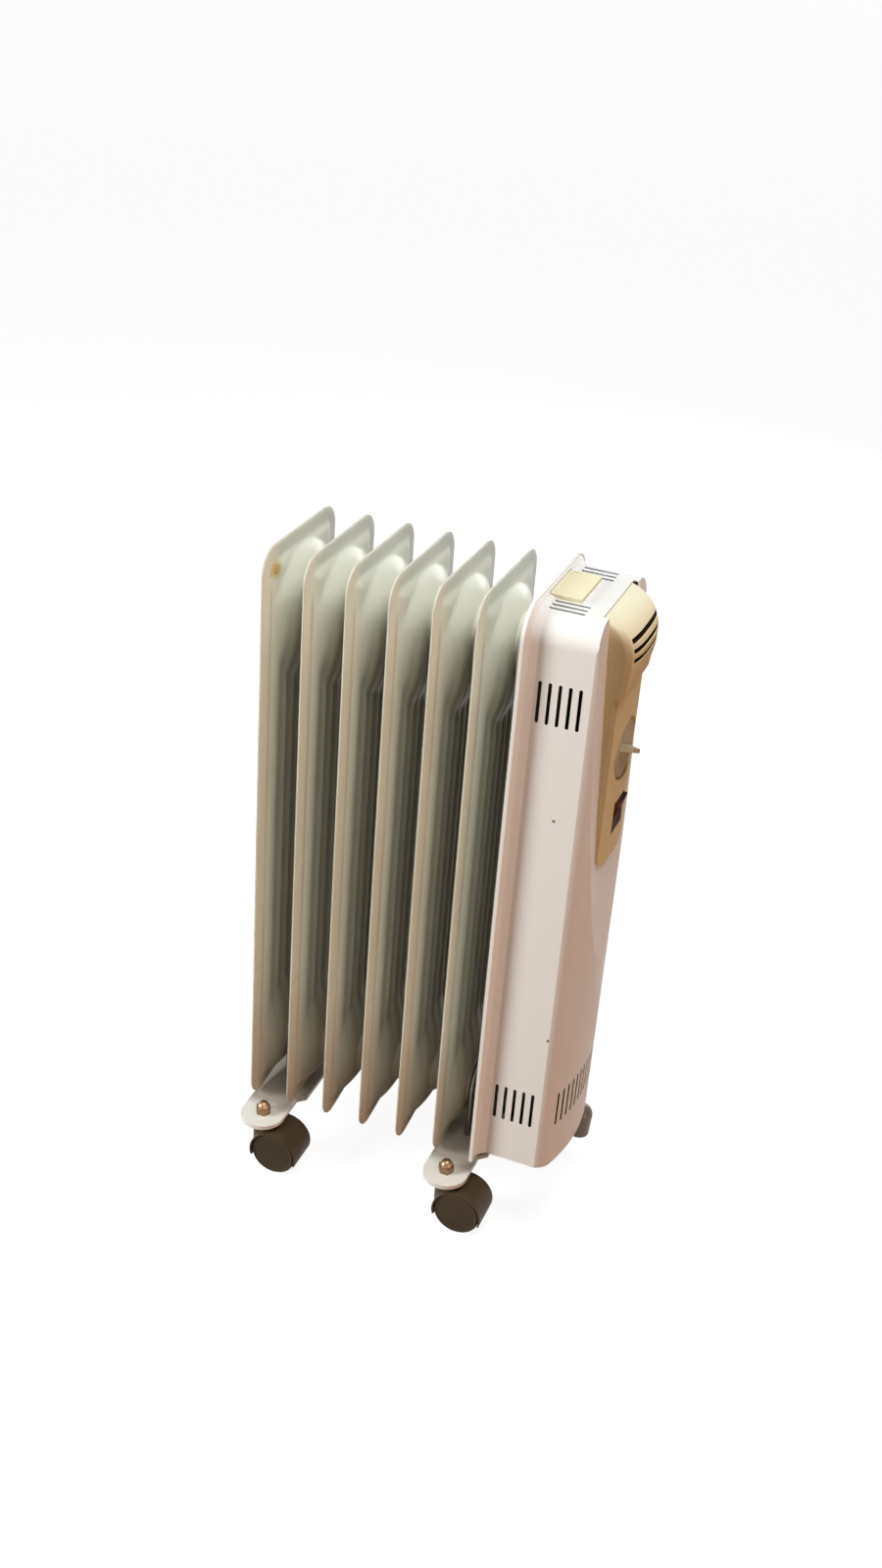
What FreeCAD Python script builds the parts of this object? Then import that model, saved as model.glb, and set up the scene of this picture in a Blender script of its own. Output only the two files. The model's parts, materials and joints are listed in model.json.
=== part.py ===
"""Oil-filled electric radiator on casters: a row of pressed fins with a control box at one end.

Millimetres. +X runs along the row of fins towards the control box, +Z is up, and the origin is on the
floor under the middle of the object.
"""
import FreeCAD, Part
import math
import os
import Sketcher

FINS = 7
FLUTES = 6
SIDE_SLOTS = 5
END_SLOTS = 14
TOP_SLOTS = 3
HOOD_SLOTS = 3

# Driving dimensions, one cell each
SIZES = dict(
    # fins and headers
    fin_height=565,
    fin_depth=143,
    fin_corner=22,
    crown_corner=8,
    fin_pitch=37.6,
    rim_thick=2,
    rim_width=13,
    slope_width=13,
    chamber_thick=10,
    flute_pitch=14,
    flute_width=9,
    flute_rise=2.5,
    flute_draft=40,
    flute_above=86,
    flute_below=106,
    header_low=50,
    header_drop=60,
    funnel_radius=46,
    throat_radius=31,
    throat_reach=8.5,
    neck_radius=22,
    header_bore=15,
    end_boss=12,
    # control box
    box_land=9.8,
    box_edge=22,
    box_clear=22,
    box_drop=4,
    wall=1.2,
    plate_thick=1.5,
    lip_thick=1.5,
    lip_out=11.4,
    lip_rise=7,
    lip_below=6,
    lip_flare=6,
    flare_reach=10,
    wall_length=57.5,
    bulge=20,
    bulge_radius=190,
    shoulder_in=11.5,
    shoulder_radius=18,
    facet_top=0.3,
    facet_run=344,
    slot_width=3,
    slot_length=37,
    slot_pitch=8.5,
    slot_start=15,
    slot_low=85,
    slot_high=72,
    top_slot_start=9.4,
    top_slot_length=29.5,
    top_slot_width=2.4,
    top_slot_pitch=7.6,
    top_slot_offset=31.3,
    floor_thick=1.5,
    screw_radius=1.9,
    screw_head=3.6,
    # control panel
    panel_half=42,
    panel_length=233,
    panel_corner=22,
    panel_bevel=2.5,
    panel_setback=1.5,
    panel_bow=4.7,
    hood_radius=34,
    hood_back=25.2,
    hood_lap=8,
    hood_chin=9,
    hood_taper=26,
    hood_nose=1,
    hood_edge=5,
    hood_slot_half=35,
    hood_slot_width=4,
    hood_slot_pitch=7.8,
    hood_slot_drop=18,
    hood_slot_depth=14,
    panel_wall=3,
    dial_drop=131,
    dial_radius=25.6,
    dial_gap=2.3,
    dial_thick=3.9,
    well_depth=6,
    dial_rest=27,
    grip_height=10,
    grip_thick=6.8,
    grip_half=20,
    grip_tip_thick=3.6,
    grip_tip_half=14,
    shaft_radius=3,
    switch_drop=192,
    rocker_width=13.6,
    rocker_length=29,
    rocker_gap=0.4,
    rocker_body=9,
    rocker_proud=1,
    rocker_tilt=7,
    pivot_radius=1.5,
    housing_wall=2,
    housing_depth=22,
    # top cover plate
    insert_length=27,
    insert_half=27.5,
    insert_thick=3.5,
    insert_inset=1.6,
    insert_frame=3,
    # caster brackets and their fixings
    bracket_half=21,
    bracket_reach=105,
    bracket_sheet=2,
    bracket_edge=4,
    saddle_half=28,
    saddle_reach=45,
    stem_offset=83,
    bolt_radius=3,
    bolt_gap=1.4,
    bolt_tail=16,
    nut_height=8,
    nut_radius=6,
    wing_reach=11,
    wing_thick=3,
    stem_radius=4,
    collar_radius=9,
    collar_height=7,
    pin_radius=3.5,
    pin_length=20,
    dome_across=13,
    dome_height=6.5,
    # casters
    wheel_radius=22,
    wheel_width=11.6,
    wheel_gap=0.4,
    hood_wall=1.6,
    caster_half=17.5,
    web_half=5,
    trail=18.5,
    hood_skirt=7,
    boss_radius=9,
    axle_radius=3,
    axle_half=14,
    # pieces inside the box
    element_radius=4,
    element_spread=14,
    element_length=180,
    flange_radius=21,
    flange_thick=8,
    cutout_radius=5,
    cutout_length=10,
    cutout_height=250,
    block_length=20,
    block_width=36,
    block_height=16,
    thermostat_side=34,
    thermostat_depth=18,
    # mains gland under the box
    gland_radius=11.5,
    gland_length=21.5,
    gland_tip=10,
    gland_neck=6.5,
    gland_drop=18.2,
    gland_angle=90,
    gland_margin=23.6,
    gland_inset=17.6,
    gland_forward=9,
    cord_bore=3.7,
    # clearances
    run_clear=0.05,
    fit_clear=0.3,
)


class Size:
    """A number that also knows the sheet expression it came from."""

    def __init__(self, value, text):
        self.value = float(value)
        self.text = text

    def joined(self, other, sign, value):
        right = other.text if isinstance(other, Size) else repr(other)
        return Size(value, f"({self.text} {sign} {right})")

    def __add__(self, other):
        return self.joined(other, "+", self.value + number(other))

    def __sub__(self, other):
        return self.joined(other, "-", self.value - number(other))

    def __mul__(self, other):
        return self.joined(other, "*", self.value * number(other))

    def __truediv__(self, other):
        return self.joined(other, "/", self.value / number(other))

    def __neg__(self):
        return Size(-self.value, f"(0 - {self.text})")

    __radd__ = __add__
    __rmul__ = __mul__


def number(item):
    return item.value if isinstance(item, Size) else float(item)


def root(size):
    return Size(math.sqrt(size.value), f"sqrt({size.text})")


doc = FreeCAD.newDocument("radiator")
sheet = doc.addObject("Spreadsheet::Sheet", "dim")
for row, (alias, amount) in enumerate(SIZES.items(), start=1):
    sheet.set(f"A{row}", alias)
    sheet.set(f"B{row}", str(amount))
    sheet.setAlias(f"B{row}", alias)
doc.recompute()


class Sheet:
    """Sizes by name, read back from the sheet."""

    def __getattr__(self, alias):
        return Size(sheet.get(alias), f"dim.{alias}")


s = Sheet()


# Helpers for bodies, sketches and features

def bind(item, path, size):
    if isinstance(size, Size):
        item.setExpression(path, size.text)


def new_body(label, x=0, y=0, z=0):
    body = doc.addObject("PartDesign::Body", label)
    body.Label = label
    body.Placement.Base = FreeCAD.Vector(number(x), number(y), number(z))
    for axis, size in zip("xyz", (x, y, z)):
        bind(body, f"Placement.Base.{axis}", size)
    return body


def new_sketch(body, role, over=0, up=0, lift=0, turned=0):
    """A sketch on one of the body's own planes, shifted in it (over, up), off it (lift) and turned in it."""
    sketch = body.newObject("Sketcher::SketchObject", f"{body.Name}_sketch")
    plane = [item for item in body.Origin.OriginFeatures if item.Role == role][0]
    sketch.AttachmentSupport = [(plane, "")]
    sketch.MapMode = "FlatFace"
    offset = FreeCAD.Vector(number(over), number(up), number(lift))
    rotation = FreeCAD.Rotation(FreeCAD.Vector(0, 0, 1), number(turned))
    sketch.AttachmentOffset = FreeCAD.Placement(offset, rotation)
    bind(sketch, "AttachmentOffset.Rotation.Angle", turned)
    for axis, size in zip("xyz", (over, up, lift)):
        bind(sketch, f"AttachmentOffset.Base.{axis}", size)
    return sketch


def held(shape, point, u, v):
    """The two constraints that fix a point of a sketch shape at (u, v), each with its size."""
    pairs = []
    for kind, size, axis in (("DistanceX", u, -2), ("DistanceY", v, -1)):
        if number(size) == 0 and not isinstance(size, Size):
            pairs.append((Sketcher.Constraint("PointOnObject", shape, point, axis), None))
        else:
            pairs.append((Sketcher.Constraint(kind, -1, 1, shape, point, number(size)), size))
    return pairs


def constrain(sketch, pairs):
    """Add constraints in one go and bind those that have a size."""
    places = sketch.addConstraint([constraint for constraint, size in pairs])
    for place, (constraint, size) in zip(places, pairs):
        if size is not None:
            bind(sketch, f"Constraints[{place}]", size)


def vector(u, v):
    return FreeCAD.Vector(number(u), number(v), 0)


def arc_through(first, last, radius, turn):
    """The shorter arc from first to last; turn is 1 for anticlockwise and -1 for clockwise."""
    chord = last - first
    side = FreeCAD.Vector(-chord.y, chord.x, 0) * turn
    side.normalize()
    rise = math.sqrt(max(radius * radius - chord.Length ** 2 / 4, 0))
    centre = (first + last) * 0.5 + side * rise
    begin, end = (first, last) if turn > 0 else (last, first)
    angles = [math.atan2(point.y - centre.y, point.x - centre.x) for point in (begin, end)]
    if angles[1] <= angles[0]:
        angles[1] += 2 * math.pi
    circle = Part.Circle(centre, FreeCAD.Vector(0, 0, 1), radius)
    return Part.ArcOfCircle(circle, *angles)


def outline(sketch, *steps):
    """A closed outline. A step is a corner (u, v), or (u, v, radius, turn) where an arc leads to it.

    A radius of None makes the arc a half circle on a level or upright chord.
    """
    shapes = []
    for index, step in enumerate(steps):
        before = steps[index - 1]
        first, last = vector(*before[:2]), vector(*step[:2])
        if len(step) == 2:
            shapes.append((sketch.addGeometry(Part.LineSegment(first, last), False), 1, 2))
            continue
        radius, turn = step[2:]
        reach = number(radius) if radius is not None else (last - first).Length / 2
        shape = sketch.addGeometry(arc_through(first, last, reach, turn), False)
        ends = (1, 2) if turn > 0 else (2, 1)
        shapes.append((shape, *ends))
    pairs = []
    for index, (shape, begin, end) in enumerate(shapes):
        after = shapes[(index + 1) % len(shapes)]
        pairs.append((Sketcher.Constraint("Coincident", shape, end, after[0], after[1]), None))
        pairs += held(shape, end, *steps[index][:2])
    for (shape, begin, end), step, before in zip(shapes, steps, steps[-1:] + steps[:-1]):
        if len(step) == 2:
            continue
        if step[2] is None:
            level = abs(number(step[1]) - number(before[1])) < 1e-6
            kind = "Horizontal" if level else "Vertical"
            pairs.append((Sketcher.Constraint(kind, shape, 3, shape, 1), None))
        else:
            pairs.append((Sketcher.Constraint("Radius", shape, number(step[2])), step[2]))
    constrain(sketch, pairs)
    return sketch


def circle(sketch, u, v, radius):
    shape = sketch.addGeometry(Part.Circle(vector(u, v), FreeCAD.Vector(0, 0, 1), number(radius)), False)
    constrain(sketch, held(shape, 3, u, v) + [(Sketcher.Constraint("Radius", shape, number(radius)), radius)])
    return sketch


def rectangle(sketch, left, low, right, high):
    return outline(sketch, (left, low), (right, low), (right, high), (left, high))


def rounded(sketch, half, low, high, corner):
    """An upright rectangle with four round corners, centred on the sketch's upright axis."""
    flat = half - corner
    return outline(
        sketch,
        (flat, low),
        (half, low + corner, corner, 1),
        (half, high - corner),
        (flat, high, corner, 1),
        (-flat, high),
        (-half, high - corner, corner, 1),
        (-half, low + corner),
        (-flat, low, corner, 1),
    )


def arched(sketch, half, low, high, corner):
    """An upright rectangle whose two top corners are round."""
    flat = half - corner
    return outline(
        sketch,
        (-half, low),
        (half, low),
        (half, high - corner),
        (flat, high, corner, 1),
        (-flat, high),
        (-half, high - corner, corner, 1),
    )


def upright_slot(sketch, middle, low, high, width):
    half = width / 2
    return outline(
        sketch,
        (middle - half, low + half),
        (middle + half, low + half, None, 1),
        (middle + half, high - half),
        (middle - half, high - half, None, 1),
    )


def feature(body, kind, sketch, **settings):
    item = body.newObject(f"PartDesign::{kind}", f"{body.Name}_{kind.lower()}")
    item.Profile = sketch
    for name, setting in settings.items():
        setattr(item, name, setting)
    return item


def extrude(body, kind, sketch, length, both=False, back=False, draft=None):
    item = feature(body, kind, sketch, Type="Length", Reversed=back)
    item.SideType = "Symmetric" if both else "One side"
    item.Length = number(length)
    bind(item, "Length", length)
    if draft is not None:
        item.TaperAngle = number(draft)
        bind(item, "TaperAngle", draft)
    return item


def pad(body, sketch, length, **settings):
    return extrude(body, "Pad", sketch, length, **settings)


def pocket(body, sketch, length, **settings):
    return extrude(body, "Pocket", sketch, length, **settings)


def bore(body, sketch, both=True, back=False):
    item = feature(body, "Pocket", sketch, Type="ThroughAll", Reversed=back)
    item.SideType = "Symmetric" if both else "One side"
    return item


def turn(body, sketch, axis):
    return feature(body, "Revolution", sketch, ReferenceAxis=(sketch, [axis]), Angle=360)


def round_edges(body, base, radius, wanted):
    """Round the edges of a feature that the wanted function picks."""
    doc.recompute()
    names = [f"Edge{i}" for i, edge in enumerate(base.Shape.Edges, start=1) if wanted(edge)]
    item = body.newObject("PartDesign::Fillet", f"{body.Name}_fillet")
    item.Base = (base, names)
    item.Radius = number(radius)
    bind(item, "Radius", radius)
    return item


def near(first, second):
    return abs(first - second) < 1e-4


def group(label, pieces):
    """Separate solids that share one node."""
    item = doc.addObject("Part::Compound", label)
    item.Label = label
    item.Links = pieces
    return item


# Places worked out from the driving dimensions

hood_outer = s.wheel_radius + s.wheel_gap + s.hood_wall
hood_top = s.wheel_radius + hood_outer
plate_under = hood_top + s.collar_height
fin_base = plate_under + s.bracket_sheet
fin_top = fin_base + s.fin_height
bracket_low = fin_base - s.bracket_edge

box_depth = s.wall_length + s.bulge
row_length = s.fin_pitch * (FINS - 1)
half_rim = s.rim_thick / 2
plate_half = s.fin_depth / 2 - s.rim_width + s.fit_clear
box_half = plate_half + s.box_land
dial_face = s.dial_thick + s.fit_clear - s.well_depth - s.panel_setback
front_reach = half_rim + s.plate_thick + box_depth + dial_face + s.grip_height
first_fin = (s.end_boss - row_length - front_reach) / 2
last_fin = first_fin + row_length

plate_x = last_fin + half_rim
lip_x = plate_x + s.plate_thick
wall_front = lip_x + s.wall_length
bulge_x = wall_front + s.bulge
box_low = fin_base + s.box_clear
box_high = fin_top - s.box_drop
shoulder_y = box_half - s.shoulder_in
bulge_drop = s.bulge_radius - root(s.bulge_radius * s.bulge_radius - shoulder_y * shoulder_y)
shoulder_x = bulge_x - bulge_drop
facet_tip = box_high - s.facet_run

panel_face = bulge_x - s.panel_setback
panel_low = box_high - s.panel_length
seam_x = panel_face + s.hood_nose + s.panel_setback - s.hood_back
nose_x = bulge_x + s.hood_nose
dial_z = box_high - s.dial_drop
switch_z = box_high - s.switch_drop
well_floor = panel_face - s.well_depth
knob_x = well_floor + s.fit_clear
low_header = fin_base + s.header_low
rear_stem = first_fin + s.fin_pitch / 2
front_stem = last_fin - s.fin_pitch / 2
bolt_spread = s.neck_radius + s.bolt_radius + s.bolt_gap


def facet_x(height):
    """Where the inclined facet of the end wall lies at a height."""
    slope = (s.bulge - s.facet_top) / s.facet_run
    return wall_front + s.facet_top + (box_high - height) * slope


# Fins

def funnel(body, height, left, right):
    """One header's trumpet, turned about its own axis along the row."""
    sketch = new_sketch(body, "XZ_Plane", up=height)
    half = s.rim_thick / 2
    outline(
        sketch,
        (-left, 0),
        (right, 0),
        (right, s.neck_radius),
        (s.throat_reach, s.throat_radius),
        (half, s.funnel_radius),
        (-half, s.funnel_radius),
        (-s.throat_reach, s.throat_radius),
        (-left, s.neck_radius),
    )
    turn(body, sketch, "H_Axis")


def make_fin(order):
    first, last = order == 1, order == FINS
    body = new_body(f"fin_{order}", first_fin + s.fin_pitch * (order - 1), 0, fin_base)
    half_depth = s.fin_depth / 2
    inset = s.rim_width + s.slope_width
    face = s.chamber_thick / 2
    rim = rounded(new_sketch(body, "YZ_Plane"), half_depth, Size(0, "0"), s.fin_height, s.fin_corner)
    pad(body, rim, s.rim_thick, both=True)
    for side in (1, -1):
        foot = new_sketch(body, "YZ_Plane")
        rounded(foot, half_depth - s.rim_width, s.rim_width, s.fin_height - s.rim_width, s.fin_corner - s.rim_width)
        crown = new_sketch(body, "YZ_Plane", lift=face * side)
        rounded(crown, half_depth - inset, inset, s.fin_height - inset, s.crown_corner)
        feature(body, "AdditiveLoft", foot, Sections=[crown], Ruled=True)
        flutes = new_sketch(body, "YZ_Plane", lift=face * side)
        low, high, half = s.flute_above, s.fin_height - s.flute_below, s.flute_width / 2
        for step in range(FLUTES):
            middle = s.flute_pitch * (step - (FLUTES - 1) / 2)
            outline(
                flutes,
                (middle, low),
                (middle + half, low + half),
                (middle + half, high - half),
                (middle, high),
                (middle - half, high - half),
                (middle - half, low + half),
            )
        pad(body, flutes, s.flute_rise, back=side < 0, draft=-s.flute_draft)
    left = s.end_boss if first else s.fin_pitch / 2
    right = s.end_boss if last else s.fin_pitch / 2
    upper = s.fin_height - s.header_drop
    for height in (s.header_low, upper):
        funnel(body, height, left, right)
    holes = new_sketch(body, "YZ_Plane")
    for height in (s.header_low, upper):
        circle(holes, 0, height, s.header_bore)
    bore(body, holes, both=not first, back=True)
    return body


# Control box

def front_curve(sketch, inner, beyond):
    """The region in front of the end wall's bowed plan, to be cut away; inner draws it that far inside."""
    half = box_half - inner
    side = shoulder_y - inner
    outline(
        sketch,
        (wall_front - inner, -half),
        (shoulder_x - inner, -side, s.shoulder_radius - inner, 1),
        (shoulder_x - inner, side, s.bulge_radius - inner, 1),
        (wall_front - inner, half, s.shoulder_radius - inner, 1),
        (wall_front - inner, half + beyond),
        (bulge_x + beyond, half + beyond),
        (bulge_x + beyond, -half - beyond),
        (wall_front - inner, -half - beyond),
    )


def box_form(body, inner, back):
    """The box's outer form, or the hollow inside it when inner is the wall's thickness."""
    profile = new_sketch(body, "YZ_Plane", lift=lip_x - back)
    arched(profile, box_half - inner, box_low - back, box_high - inner, s.box_edge - inner)
    pad(body, profile, box_depth + back)
    plan = new_sketch(body, "XY_Plane")
    front_curve(plan, inner, s.bulge)
    bore(body, plan)
    facet = new_sketch(body, "XZ_Plane")
    spare = s.bulge * 2
    outline(
        facet,
        (facet_x(facet_tip) - inner, facet_tip),
        (facet_x(facet_tip) + spare, facet_tip),
        (facet_x(facet_tip) + spare, box_high + spare),
        (facet_x(box_high + spare) - inner, box_high + spare),
    )
    return bore(body, facet)


def slot_row(sketch, start, count, low):
    for step in range(count):
        upright_slot(sketch, start + s.slot_pitch * step, low, low + s.slot_length, s.slot_width)


def lip_outline(sketch):
    """The rear flange's outline, the same distance outside the box's walls all round."""
    half = box_half + s.lip_out
    arched(sketch, half, box_low - s.lip_below, box_high + s.lip_rise, s.box_edge + s.lip_flare)


def add_flare(body):
    """The hollow curve from the flange to the walls, in two straight steps that end inside the sheet."""
    rings = []
    for along, share in ((0, 0.85), (0.3, 0.4), (1, -0.05)):
        ring = new_sketch(body, "YZ_Plane", lift=lip_x + s.lip_thick + s.flare_reach * along)
        half, high = box_half + s.lip_out * share, box_high + s.lip_rise * share
        rings.append(arched(ring, half, box_low, high, s.box_edge + s.lip_flare * share))
    feature(body, "AdditiveLoft", rings[0], Sections=rings[1:], Ruled=True)


def make_shell():
    outer = new_body("box_outer")
    box_form(outer, Size(0, "0"), Size(0, "0"))
    lip = new_sketch(outer, "YZ_Plane", lift=lip_x)
    lip_outline(lip)
    pad(outer, lip, s.lip_thick)
    add_flare(outer)
    gap = new_sketch(outer, "YZ_Plane", lift=lip_x)
    inside = box_half - s.wall
    rectangle(gap, -inside, box_low - s.lip_below * 2, inside, box_low)
    bore(outer, gap)
    recess = new_sketch(outer, "XY_Plane", lift=box_high)
    cover_x = lip_x + s.lip_thick + s.insert_inset
    cover_half = s.insert_half + s.fit_clear
    cover_end = cover_x + s.insert_length + s.fit_clear
    rectangle(recess, cover_x - s.fit_clear, -cover_half, cover_end, cover_half)
    bore(outer, recess, both=False, back=True)
    lower_slots, upper_slots = fin_base + s.slot_low - s.slot_length / 2, box_high - s.slot_high
    sides = new_sketch(outer, "XZ_Plane")
    for low_edge in (lower_slots, upper_slots - s.slot_length / 2):
        slot_row(sides, lip_x + s.slot_start, SIDE_SLOTS, low_edge)
    bore(outer, sides)
    ends = new_sketch(outer, "YZ_Plane", lift=wall_front)
    slot_row(ends, s.slot_pitch * ((1 - END_SLOTS) / 2), END_SLOTS, lower_slots)
    bore(outer, ends, both=False, back=True)
    tops = new_sketch(outer, "XY_Plane", lift=box_high - s.box_edge / 2)
    for side in (1, -1):
        for step in range(TOP_SLOTS):
            middle = (s.top_slot_offset + s.top_slot_pitch * step) * side
            half_width = s.top_slot_width / 2
            left = lip_x + s.top_slot_start
            rectangle(tops, left, middle - half_width, left + s.top_slot_length, middle + half_width)
    bore(outer, tops, both=False, back=True)
    notch = new_sketch(outer, "XZ_Plane")
    spare = s.bulge * 2
    rectangle(notch, seam_x - s.fit_clear, box_high - s.hood_lap - s.fit_clear, bulge_x + spare, box_high + spare)
    pocket(outer, notch, s.panel_half * 2 + s.fit_clear * 2, both=True)
    window = new_sketch(outer, "YZ_Plane", lift=wall_front - s.bulge)
    margin = s.panel_wall * 3
    rounded(window, s.panel_half - margin, panel_low + s.panel_corner, box_high - s.hood_lap - margin, margin)
    bore(outer, window, both=False, back=True)
    seat = new_sketch(outer, "XY_Plane", lift=box_high - s.box_edge / 2)
    tongue = s.insert_half - s.insert_frame * 2
    left = lip_x + s.lip_thick + s.flare_reach + s.insert_frame
    rectangle(seat, left, -tongue, left + s.insert_length / 2, tongue)
    bore(outer, seat, both=False, back=True)
    core = new_body("box_core")
    box_form(core, s.wall, s.wall)
    shell = doc.addObject("Part::Cut", "box_shell")
    shell.Label = "box_shell"
    shell.Base = outer
    shell.Tool = core
    return shell


def screw_places():
    """Screw points on the back plate: (y, z), clear of the fin and inside the lip."""
    y = (plate_half + box_half - s.wall) / 2
    low, high = fin_base + s.fin_corner, fin_top - s.fin_corner
    return [(y, low), (-y, low), (y, high), (-y, high)]


def make_back_plate():
    body = new_body("box_back_plate")
    sheet_face = new_sketch(body, "YZ_Plane", lift=plate_x)
    lip_outline(sheet_face)
    pad(body, sheet_face, s.plate_thick)
    opening = new_sketch(body, "YZ_Plane", lift=plate_x)
    inset = s.rim_width - s.fit_clear
    arched(opening, plate_half, box_low - s.lip_below * 2, fin_top - inset, s.fin_corner - inset)
    for y, z in screw_places():
        circle(opening, y, z, s.screw_radius + s.run_clear)
    bore(body, opening)
    return body


def make_box_screws():
    pieces = []
    for order, (y, z) in enumerate(screw_places()):
        body = new_body(f"box_screw_{order}", lip_x, y, z)
        profile = new_sketch(body, "XZ_Plane")
        outline(
            profile,
            (-s.plate_thick, 0),
            (s.screw_head / 2, 0),
            (s.screw_head / 2, s.screw_head),
            (0, s.screw_head),
            (0, s.screw_radius),
            (-s.plate_thick, s.screw_radius),
        )
        turn(body, profile, "H_Axis")
        pieces.append(body)
    return group("box_screws", pieces)


def gland_x():
    return bulge_x - s.gland_inset


def gland_y():
    return box_half - s.gland_margin


def make_box_floor():
    body = new_body("box_floor")
    gap = s.wall + s.fit_clear
    plan = new_sketch(body, "XY_Plane", lift=box_low)
    half = box_half - gap
    back = last_fin + s.end_boss + s.fit_clear
    outline(
        plan,
        (back, -half),
        (wall_front - gap, -half),
        (shoulder_x - gap, -shoulder_y + gap, s.shoulder_radius - gap, 1),
        (shoulder_x - gap, shoulder_y - gap, s.bulge_radius - gap, 1),
        (wall_front - gap, half, s.shoulder_radius - gap, 1),
        (back, half),
    )
    pad(body, plan, s.floor_thick)
    hole = new_sketch(body, "XY_Plane", lift=box_low)
    circle(hole, gland_x(), gland_y(), s.gland_neck + s.fit_clear)
    bore(body, hole)
    return body


def make_gland():
    """A moulded outlet: a neck up through the floor and a knuckle in front of it that opens downwards."""
    body = new_body("cord_gland", gland_x(), gland_y(), box_low)
    neck = new_sketch(body, "XZ_Plane")
    shelf = s.gland_neck + s.fit_clear * 4
    outline(
        neck,
        (0, -s.gland_drop),
        (shelf, -s.gland_drop),
        (shelf, 0),
        (s.gland_neck, 0),
        (s.gland_neck, s.floor_thick * 2),
        (0, s.floor_thick * 2),
    )
    turn(body, neck, "V_Axis")
    barrel = new_sketch(body, "XZ_Plane", over=s.gland_forward, up=-s.gland_drop, turned=-s.gland_angle)
    outline(
        barrel,
        (s.gland_length, 0),
        (s.gland_length, s.gland_tip),
        (0, s.gland_radius),
        (-s.gland_radius, 0, s.gland_radius, 1),
    )
    turn(body, barrel, "H_Axis")
    rise = circle(new_sketch(body, "XY_Plane", lift=-s.gland_drop), 0, 0, s.cord_bore)
    bore(body, rise, both=False, back=True)
    way = new_sketch(body, "XZ_Plane", over=s.gland_forward, up=-s.gland_drop, turned=-s.gland_angle)
    rectangle(way, 0, 0, s.gland_length, s.cord_bore)
    feature(body, "Groove", way, ReferenceAxis=(way, ["H_Axis"]), Angle=360)
    link = new_sketch(body, "XZ_Plane", up=-s.gland_drop)
    rectangle(link, 0, 0, s.gland_forward, s.cord_bore)
    feature(body, "Groove", link, ReferenceAxis=(link, ["H_Axis"]), Angle=360)
    return body


# Control panel and switches

def make_panel():
    body = new_body("control_panel")
    profile = new_sketch(body, "XZ_Plane")
    chin_z = box_high - s.hood_radius - s.hood_chin
    arc_x = nose_x - s.hood_radius
    arc_top = root(s.hood_radius * s.hood_radius - (seam_x - arc_x) * (seam_x - arc_x))
    seam_z = box_high - s.hood_radius + arc_top
    lap_z = box_high - s.hood_lap
    outline(
        profile,
        (facet_x(panel_low), panel_low),
        (panel_face, panel_low),
        (panel_face, chin_z - s.hood_taper),
        (nose_x, chin_z),
        (nose_x, box_high - s.hood_radius),
        (seam_x, seam_z, s.hood_radius, 1),
        (seam_x, lap_z),
        (facet_x(lap_z), lap_z),
    )
    main = pad(body, profile, s.panel_half * 2, both=True)
    low, half = number(panel_low), number(s.panel_half)

    def at_foot(edge):
        box = edge.BoundBox
        level = near(box.ZMin, low) and near(box.ZMax, low)
        return level and near(box.YMin, box.YMax) and near(abs(box.YMin), half)

    foot = round_edges(body, main, s.panel_corner, at_foot)
    chin, seam = number(chin_z), number(seam_x)

    def at_hood_side(edge):
        box = edge.BoundBox
        beside = near(box.YMin, box.YMax) and near(abs(box.YMin), half)
        return beside and box.ZMin > chin - 0.01 and box.XMin > seam - 0.01 and box.XMax > number(panel_face)

    round_edges(body, foot, s.hood_edge, at_hood_side)
    bow = new_sketch(body, "XY_Plane", lift=panel_low)
    side_x = panel_face - s.panel_bow
    flat = s.panel_half - s.panel_bevel
    spare = s.panel_half + s.panel_bow
    outline(
        bow,
        (side_x - s.panel_bevel, -s.panel_half),
        (side_x, -flat),
        (side_x, flat, s.bulge_radius, 1),
        (side_x - s.panel_bevel, s.panel_half),
        (side_x - s.panel_bevel, spare),
        (nose_x + s.panel_bow, spare),
        (nose_x + s.panel_bow, -spare),
        (side_x - s.panel_bevel, -spare),
    )
    pocket(body, bow, chin_z - s.hood_taper - panel_low, back=True)
    well = new_sketch(body, "YZ_Plane", lift=well_floor)
    circle(well, 0, dial_z, s.dial_radius + s.dial_gap)
    pocket(body, well, s.well_depth * 2, back=True)
    shaft = new_sketch(body, "YZ_Plane")
    circle(shaft, 0, dial_z, s.shaft_radius + s.fit_clear)
    bore(body, shaft)
    window = new_sketch(body, "YZ_Plane")
    half_window = s.rocker_width + s.rocker_gap * 1.5
    half_height = s.rocker_length / 2 + s.rocker_gap
    rectangle(window, -half_window, switch_z - half_height, half_window, switch_z + half_height)
    bore(body, window)
    cavity = new_sketch(body, "YZ_Plane", lift=panel_face - s.panel_bow)
    half_cavity, high_cavity = half_window + s.housing_wall, half_height + s.housing_wall
    rectangle(cavity, -half_cavity, switch_z - high_cavity, half_cavity, switch_z + high_cavity)
    bore(body, cavity, both=False)
    louvres = new_sketch(body, "YZ_Plane", lift=nose_x - s.hood_slot_depth)
    for step in range(HOOD_SLOTS):
        z = box_high - s.hood_slot_drop - s.hood_slot_pitch * step
        rectangle(louvres, -s.hood_slot_half, z - s.hood_slot_width, s.hood_slot_half, z)
    bore(body, louvres, both=False, back=True)
    return body


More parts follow.
